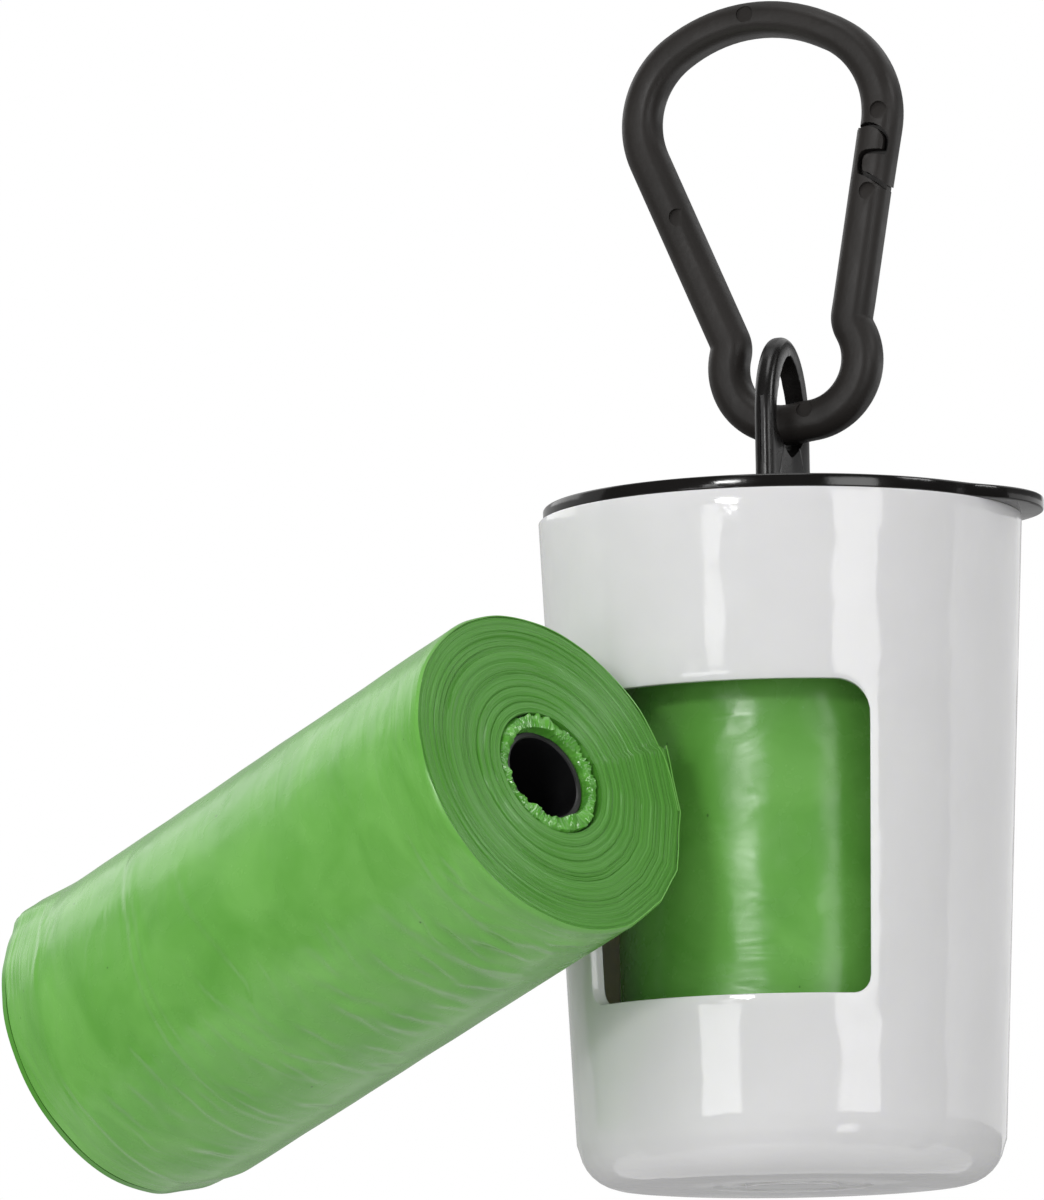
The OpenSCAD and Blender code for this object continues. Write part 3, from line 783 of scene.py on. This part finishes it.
def bag_spiral(name, body, node, place, corners, far_rim, seed):
    """Both end faces as wound bands of film edge, each carried a little way over the rim, then joined."""
    turns = spiral_turns
    split = (roll_radius + first_bag_outer) / 2 * MM
    # Each band's share of the width: uneven, thinner toward the rim, with a hairline first and last.
    widths = [band_least + band_spread * abs(noise.noise(Vector((seed, k * 0.83, 2.1))))
              + (band_extra if k % 4 == 1 else 0) - (band_less if k > 12 else 0) for k in range(turns + 2)]
    widths[0] = hairline
    widths[turns:] = [hairline, hairline]
    reach = [sum(widths[:k]) for k in range(turns + 3)]
    dips = [dip_least + dip_spread * abs(noise.noise(Vector((k * 0.61, seed, 7.7))))
            for k in range(turns + 3)]

    def level(k, angle):
        return level_swing * noise.noise(round_axis(angle, 0.7, seed + k * 1.9))

    def face(end):
        def spot(along, across):
            total = turns * along
            angle = 2 * pi * total + radians(corners[0][0] - 1)
            wound_turns = total + across
            k = int(min(wound_turns, turns + 0.999))
            share = (reach[k] + (wound_turns - k) * widths[k]) / reach[turns + 1]
            rim = eased(degrees(angle), far_rim)
            if end > 0:
                rim = edge_radius(degrees(angle), corners) - under_film
            radius = first_bag_outer - 0.1 + (rim - first_bag_outer + 0.1) * share
            if across < 1e-6 or across > 1 - 1e-6:
                edge = int(wound_turns + 1e-6)
                sink = 0.5 * (level(edge, angle) + level(edge - 1, angle)) - dips[edge]
            else:
                k = int(total + 1e-6)
                dip = dips[k] if across < 0.5 else dips[k + 1]
                sink = level(total, angle) - dip * abs(2 * across - 1) ** (2.0 + 1.4 * (k % 2))
                sink += fine_swing * noise.noise(round_axis(angle, 9, seed + wound_turns * 4))
            at_rim = max(0.0, 1 - (rim - radius) / rim_width)
            sink = sink * (1 - at_rim) - (near_rim_drop if end > 0 else far_rim_drop) * at_rim ** 2
            height = roll_length / MM + sink if end > 0 else -sink
            return round_axis(angle, radius, height) * MM

        half = wound(turns * spiral_steps, band_samples, spot)
        bmesh.ops.remove_doubles(half, verts=half.verts, dist=0.004 * MM)
        outer = [edge for edge in half.edges if edge.is_boundary and edge.verts[0].co.xy.length > split]
        for inward, along in near_skirt if end > 0 else far_skirt:
            skirt, outer = grow_edge(half, outer)
            for vert in skirt:
                vert.co.xy -= vert.co.xy.normalized() * inward * MM
                vert.co.z -= end * along * MM
        return half

    bulk, other = face(1), face(-1)
    far_half = bpy.data.meshes.new("face")
    other.to_mesh(far_half)
    other.free()
    bulk.from_mesh(far_half)
    bpy.data.meshes.remove(far_half)
    open_edges = [edge for edge in bulk.edges if edge.is_boundary]
    for is_outer in (True, False):
        ring_edges = [edge for edge in open_edges
                      if (hypot(*((edge.verts[0].co + edge.verts[1].co) / 2).xy) > split) == is_outer]
        bmesh.ops.bridge_loops(bulk, edges=ring_edges)
    carry(bulk, place)
    face_out(bulk)
    settle(name, bulk, body, node, film_edges_painted_shade, crisp=55)


bag_spiral("roll_bag_spiral", "roll", "roll_bags", roll_place, roll_edge_corners, plain_rim, seed=5.0)
bag_spiral("spare_bag_spiral", "spare_roll", "spare_bags", spare_place, spare_edge_corners,
           spare_far_rim, seed=13.0)

# ----------------------------------------------------------
# Outermost bags: the last turn of green film on each roll, wound on slack. It starts under itself and has
# long tension creases, and its free edge stands a little off the roll.
outer_columns, outer_overlap = 190, 24
tuck_turn, tuck_run, tuck_depth, tuck_radius = 345, 15, 0.22, 16.1
hem, hem_swing, end_swing, wrinkle, fine_wrinkle = 0.82, 0.20, 0.1, 0.09, 0.05
far_run, far_lift, end_run, end_drop = 5, 0.06, 0.6, 0.2
film_thickness = 0.1 * MM
crease_valley, crease_reach = 0.55, 3
film_green = film_finish(
    "film_green", dark=(0.106, 0.325, 0.049), light=(0.148, 0.395, 0.076), rough=(0.20, 0.31), patchy=1.0,
    dents=(0.15 * MM, (11.0, 15.0)), lines=(0.06 * MM, (9.0, 64.0)))


def crease(points, tall, wide):
    """A crease in the film through some places, each a turn in degrees and a height in mm.

    Gives a function for the film's lift at a turn and a height: a ridge with a shallower valley beside it.
    """
    knots = [Vector((radians(turn) * roll_radius, height)) for turn, height in points]
    lengths = [(after - before).length for before, after in zip(knots, knots[1:])]
    whole = sum(lengths)
    margin = crease_reach * wide
    low, high = min(knot.y for knot in knots) - margin, max(knot.y for knot in knots) + margin

    def lift(turn, height):
        if not low < height < high:
            return 0.0
        nearest, found = 9e9, None
        for round_again in (-360, 0, 360):
            place = Vector((radians(turn + round_again) * roll_radius, height))
            if not knots[0].x - 2 < place.x < knots[-1].x + 2:
                continue
            passed = 0.0
            for before, after, length in zip(knots, knots[1:], lengths):
                run = (after - before) / length
                share = max(0.0, min(length, (place - before).dot(run)))
                off = place - before - run * share
                if off.length < abs(nearest):
                    nearest = off.length * (1 if run.cross(off) > 0 else -1)
                    found = (passed + share) / whole
                passed += length
        if found is None or abs(nearest) > margin:
            return 0.0
        fade = min(1.0, 4 * found, 4 * (1 - found)) ** 0.7
        off = nearest / wide
        return tall * fade * (exp(-off * off) - crease_valley * exp(-(off + 1.4) ** 2))

    return lift


def spread_out(k, step, start=0.0):
    """A share from 0 to 1 that jumps about evenly as k goes up."""
    return (k * step + start) % 1


def outer_bag(name, body, node, place, corners, far_rim, seed, creases, rows):
    """One loose turn of film with wrinkles, from its start under itself to its free edge."""
    sweep = 360 + outer_overlap

    def spot(along, across):
        turned_by = sweep * along
        turn = corners[0][0] - turned_by
        angle = radians(turn)
        radius = edge_radius(turn, corners)
        if turned_by >= 360:
            radius = min(radius, tuck_radius)
        if turned_by > tuck_turn:
            radius -= tuck_depth * min(1.0, (turned_by - tuck_turn) / tuck_run)
        low_end = hem + hem_swing * noise.noise(round_axis(angle, 3, seed + 31))
        high_end = roll_length / MM + end_swing * noise.noise(round_axis(angle, 4, seed + 47))
        height = low_end + (high_end - low_end) * (across - 0.1 * sin(2 * pi * across))
        around = round_axis(angle, 2.2, seed + height / 14)
        radius += wrinkle * noise.noise(around) + fine_wrinkle * noise.noise(around * 3.1)
        for each in creases:
            radius += each(turn, height)
        far = soft_step(max(0.0, 1 - (height - low_end) / far_run))
        radius += (eased(turn, far_rim) + far_lift - radius) * far
        radius -= end_drop * max(0.0, 1 - (high_end - height) / end_run) ** 2
        return round_axis(angle, radius, height) * MM

    skin = wound(outer_columns, rows, spot)
    carry(skin, place)
    skin = built(skin, [("SOLIDIFY", {"thickness": film_thickness, "offset": 1.0})])
    settle(name, skin, body, node, film_green, crisp=60)


# The longest creases are on the spare roll, and many short ones are spread over both rolls.
spare_creases = [
    crease([(-150, 17.6), (-100, 19.8), (-60, 19.0), (-22, 18.3), (6, 18.0)], 0.17, 0.42),
    crease([(-140, 18.6), (-100, 20.8), (-60, 20.2), (-22, 19.3), (2, 19.2)], 0.15, 0.36),
    crease([(-112, 26.6), (-94, 28.0), (-75, 30.2), (-60, 31.1), (-48, 29.4), (-34, 31.0)], 0.14, 0.40),
    crease([(-82, 25.0), (-64, 26.4), (-53, 27.6), (-40, 29.2), (-22, 29.4)], 0.14, 0.40),
    crease([(-50, 29.0), (-32, 28.4), (-14, 30.6)], 0.15, 0.38),
    crease([(-74, 56.6), (-58, 56.4), (-37, 56.4), (-20, 58.6)], 0.14, 0.42),
    crease([(-58, 57.4), (-45, 58.2), (-33, 59.2)], 0.12, 0.34),
    crease([(-62, 49.0), (-42, 50.4), (-27, 51.2), (4, 51.4)], 0.22, 0.75),
    crease([(-42, 36.6), (-25, 38.5), (-2, 38.8)], 0.22, 0.75),
    crease([(-54, 37.0), (-37, 39.3), (-25, 41.2)], 0.16, 0.55),
    crease([(-50, 44.0), (-34, 45.6), (-16, 46.6), (2, 46.2)], 0.20, 0.80),
    crease([(-46, 53.0), (-30, 54.4), (-12, 55.2)], 0.18, 0.65),
    crease([(-70, 5.0), (-50, 5.4), (-34, 4.9), (-4, 3.6)], 0.12, 0.36),
    crease([(-58, 16.4), (-36, 15.7), (-18, 15.1), (2, 14.4)], 0.14, 0.38),
    crease([(-150, 4.2), (-115, 6.0), (-95, 5.0)], 0.10, 0.34),
]
for k in range(64):
    first = -66 + 60 * abs(noise.noise(Vector((k * 1.37, 5.1, 0.4)))) * 1.6
    height = 8 + 51 * spread_out(k, 0.618)
    length = 16 + 26 * abs(noise.noise(Vector((k * 2.11, 1.7, 3.3))))
    slope = 1.6 * noise.noise(Vector((k * 0.91, 8.8, 6.1)))
    points = [(first, height), (first + length / 2, height + slope + 0.4),
              (first + length, height + 2 * slope)]
    tall, wide = 0.10 + 0.09 * spread_out(k, 0.37), 0.34 + 0.26 * spread_out(k, 0.73)
    spare_creases.append(crease(points, tall, wide))
roll_creases = []
for k in range(22):
    first = -135 + 80 * spread_out(k, 0.618)
    height = 12 + 38 * spread_out(k, 0.381, 0.2)
    slope = 6.0 * noise.noise(Vector((k * 1.13, 2.8, 9.1)))
    points = [(first, height), (first + 5, height + slope), (first + 11, height + 2 * slope)]
    roll_creases.append(crease(points, 0.05 + 0.05 * spread_out(k, 0.37), 0.30))
outer_bag("roll_outer_film", "roll", "roll_outer_bag", roll_place, roll_edge_corners, plain_rim, 8.0,
          roll_creases, rows=120)
outer_bag("spare_outer_film", "spare_roll", "spare_outer_bag", spare_place, spare_edge_corners,
          spare_far_rim, 17.0, spare_creases, rows=235)

# ----------------------------------------------------------
# Stage: a plain white floor and backdrop with soft studio light. The floor shows only from above, so the
# set can also be seen from slightly below its level, and it lets the light of the room reach undersides.
# Curved cards stand far around the set and show only in what the glossy pieces mirror.
world = bpy.data.worlds.new("studio")
bpy.context.scene.world = world
world.use_nodes = True
air = world.node_tree
add = node_adder(air)
ray = add("ShaderNodeLightPath").outputs
glossy_or_clear = add("ShaderNodeMath", {0: ray["Is Glossy Ray"], 1: ray["Is Transmission Ray"]},
                      operation="MAXIMUM")
seen = add("ShaderNodeMath", {0: ray["Is Camera Ray"], 1: glossy_or_clear.outputs[0]}, operation="MAXIMUM")
brightness = add("ShaderNodeMapRange", {"Value": seen.outputs[0], "To Min": 0.60, "To Max": 1.0})
sky = air.nodes["Background"]
sky.inputs["Color"].default_value = (1, 1, 1, 1)
air.links.new(brightness.outputs["Result"], sky.inputs["Strength"])


def hide_from(thing, *rays):
    for ray_kind in rays:
        setattr(thing, "visible_" + ray_kind, False)


floor_drop, floor_half = 0.25 * MM, 3
floor_fades_from, floor_fades_to = 0.16, 0.5
ground = bmesh.new()
bmesh.ops.create_grid(ground, x_segments=1, y_segments=1, size=floor_half)
bmesh.ops.translate(ground, verts=ground.verts, vec=(0, 0, -floor_drop))
floor = as_object("floor", ground)
floor_finish, floor_shader, add, link = new_finish(
    "floor_white", {"Base Color": (0.9, 0.9, 0.9, 1), "Roughness": 0.9})
from_below = add("ShaderNodeNewGeometry").outputs["Backfacing"]
floor_place = add("ShaderNodeTexCoord").outputs["Object"]
away = add("ShaderNodeVectorMath", {0: floor_place}, operation="LENGTH")
faded = add("ShaderNodeMapRange", {"Value": away.outputs["Value"], "From Min": floor_fades_from,
                                   "From Max": floor_fades_to}, interpolation_type="SMOOTHSTEP")
unseen = add("ShaderNodeMath", {0: from_below, 1: faded.outputs["Result"]}, operation="MAXIMUM")
clear = add("ShaderNodeBsdfTransparent")
one_sided = add("ShaderNodeMixShader", {0: unseen.outputs[0], 1: floor_shader.outputs[0],
                                        2: clear.outputs[0]})
link(one_sided.outputs[0], floor_finish.node_tree.nodes["Material Output"].inputs["Surface"])
floor.data.materials.append(floor_finish)
hide_from(floor, "diffuse", "glossy", "transmission", "shadow")

stage_middle = Vector((-8, -12, 52)) * MM


def softbox(name, azimuth, elevation, distance, width, height, radiance):
    """A soft rectangular lamp, aimed at the set from an azimuth where 0 is the window's side."""
    lamp = bpy.data.lights.new(name, "AREA")
    lamp.shape = "RECTANGLE"
    lamp.size, lamp.size_y = width, height
    lamp.energy = radiance * pi * width * height
    holder = bpy.data.objects.new(name, lamp)
    away = Vector((sin(radians(azimuth)) * cos(radians(elevation)),
                   -cos(radians(azimuth)) * cos(radians(elevation)), sin(radians(elevation))))
    holder.location = stage_middle + away * distance
    holder.rotation_euler = away.to_track_quat("Z", "Y").to_euler()
    hide_from(holder, "camera")
    bpy.context.scene.collection.objects.link(holder)
    return holder


softbox("left_strip", -12.5, 3.0, 0.6, 0.085, 0.050, 3.6)
softbox("left_strip_foot", -16.5, -4.0, 0.6, 0.24, 0.064, 4.2)
softbox("right_strip", 57, 5.0, 0.6, 0.24, 0.245, 3.7)
softbox("roll_strip", -4, 9.0, 0.6, 0.13, 0.050, 38.0)
softbox("top_box", 15, 62, 0.9, 0.4, 0.4, 3.2)
softbox("left_back_box", -112, 28, 0.8, 0.5, 0.5, 1.2)
softbox("low_right_box", 52, -24, 0.7, 0.12, 0.12, 3.5)
hide_from(softbox("ring_box", 91, 24, 0.8, 0.22, 0.22, 7.0), "diffuse")
hide_from(softbox("left_front_fill", -50, 16, 1.0, 0.5, 0.5, 3.0), "glossy")
hide_from(softbox("front_fill", 22, -4, 1.0, 0.5, 0.5, 0.6), "glossy")


def backdrop(name, start, end, low, high, shade):
    """A curved card round the set between two azimuths in degrees, which only reflections show."""
    bend = bmesh.new()
    bmesh.ops.create_circle(bend, segments=144, radius=2.5)
    top_verts = grow_edge(bend, bend.edges[:])[0]
    bmesh.ops.translate(bend, verts=bend.verts, vec=(0, 0, low))
    bmesh.ops.translate(bend, verts=top_verts, vec=(0, 0, high - low))
    middles = [(face, face.calc_center_median()) for face in bend.faces]
    outside = [face for face, place in middles
               if (degrees(atan2(place.x, -place.y)) - start) % 360 > end - start]
    bmesh.ops.delete(bend, geom=outside, context="FACES")
    card = as_object(name, bend)
    card.data.materials.append(new_finish(
        name + "_matt", {"Base Color": (shade, shade, shade, 1), "Roughness": 0.9})[0])
    hide_from(card, "camera", "diffuse", "transmission", "shadow")


backdrop("dark_wall", -76, 109, -2.0, 6.0, 0.05)
backdrop("side_card", -172, -76, -0.06, 6.0, 0.80)
backdrop("low_card", 109, 284, -1.2, -0.06, 0.62)
backdrop("right_card", 109, 178, 0.42, 1.3, 0.30)

# ----------------------------------------------------------
# Camera: a long lens, a little below the canister's foot, looking slightly up at the set.
camera_data = bpy.data.cameras.new("camera")
camera_data.sensor_width = 36
camera_data.lens = 272.55
camera_data.clip_end = 20
camera = bpy.data.objects.new("camera", camera_data)
camera.location = Vector((292.96, -804.90, -57.82)) * MM
camera.rotation_euler = (radians(97.5851), radians(0.8678), radians(21.7659))
bpy.context.scene.collection.objects.link(camera)
bpy.context.scene.camera = camera
bpy.context.scene.view_settings.view_transform = "Standard"
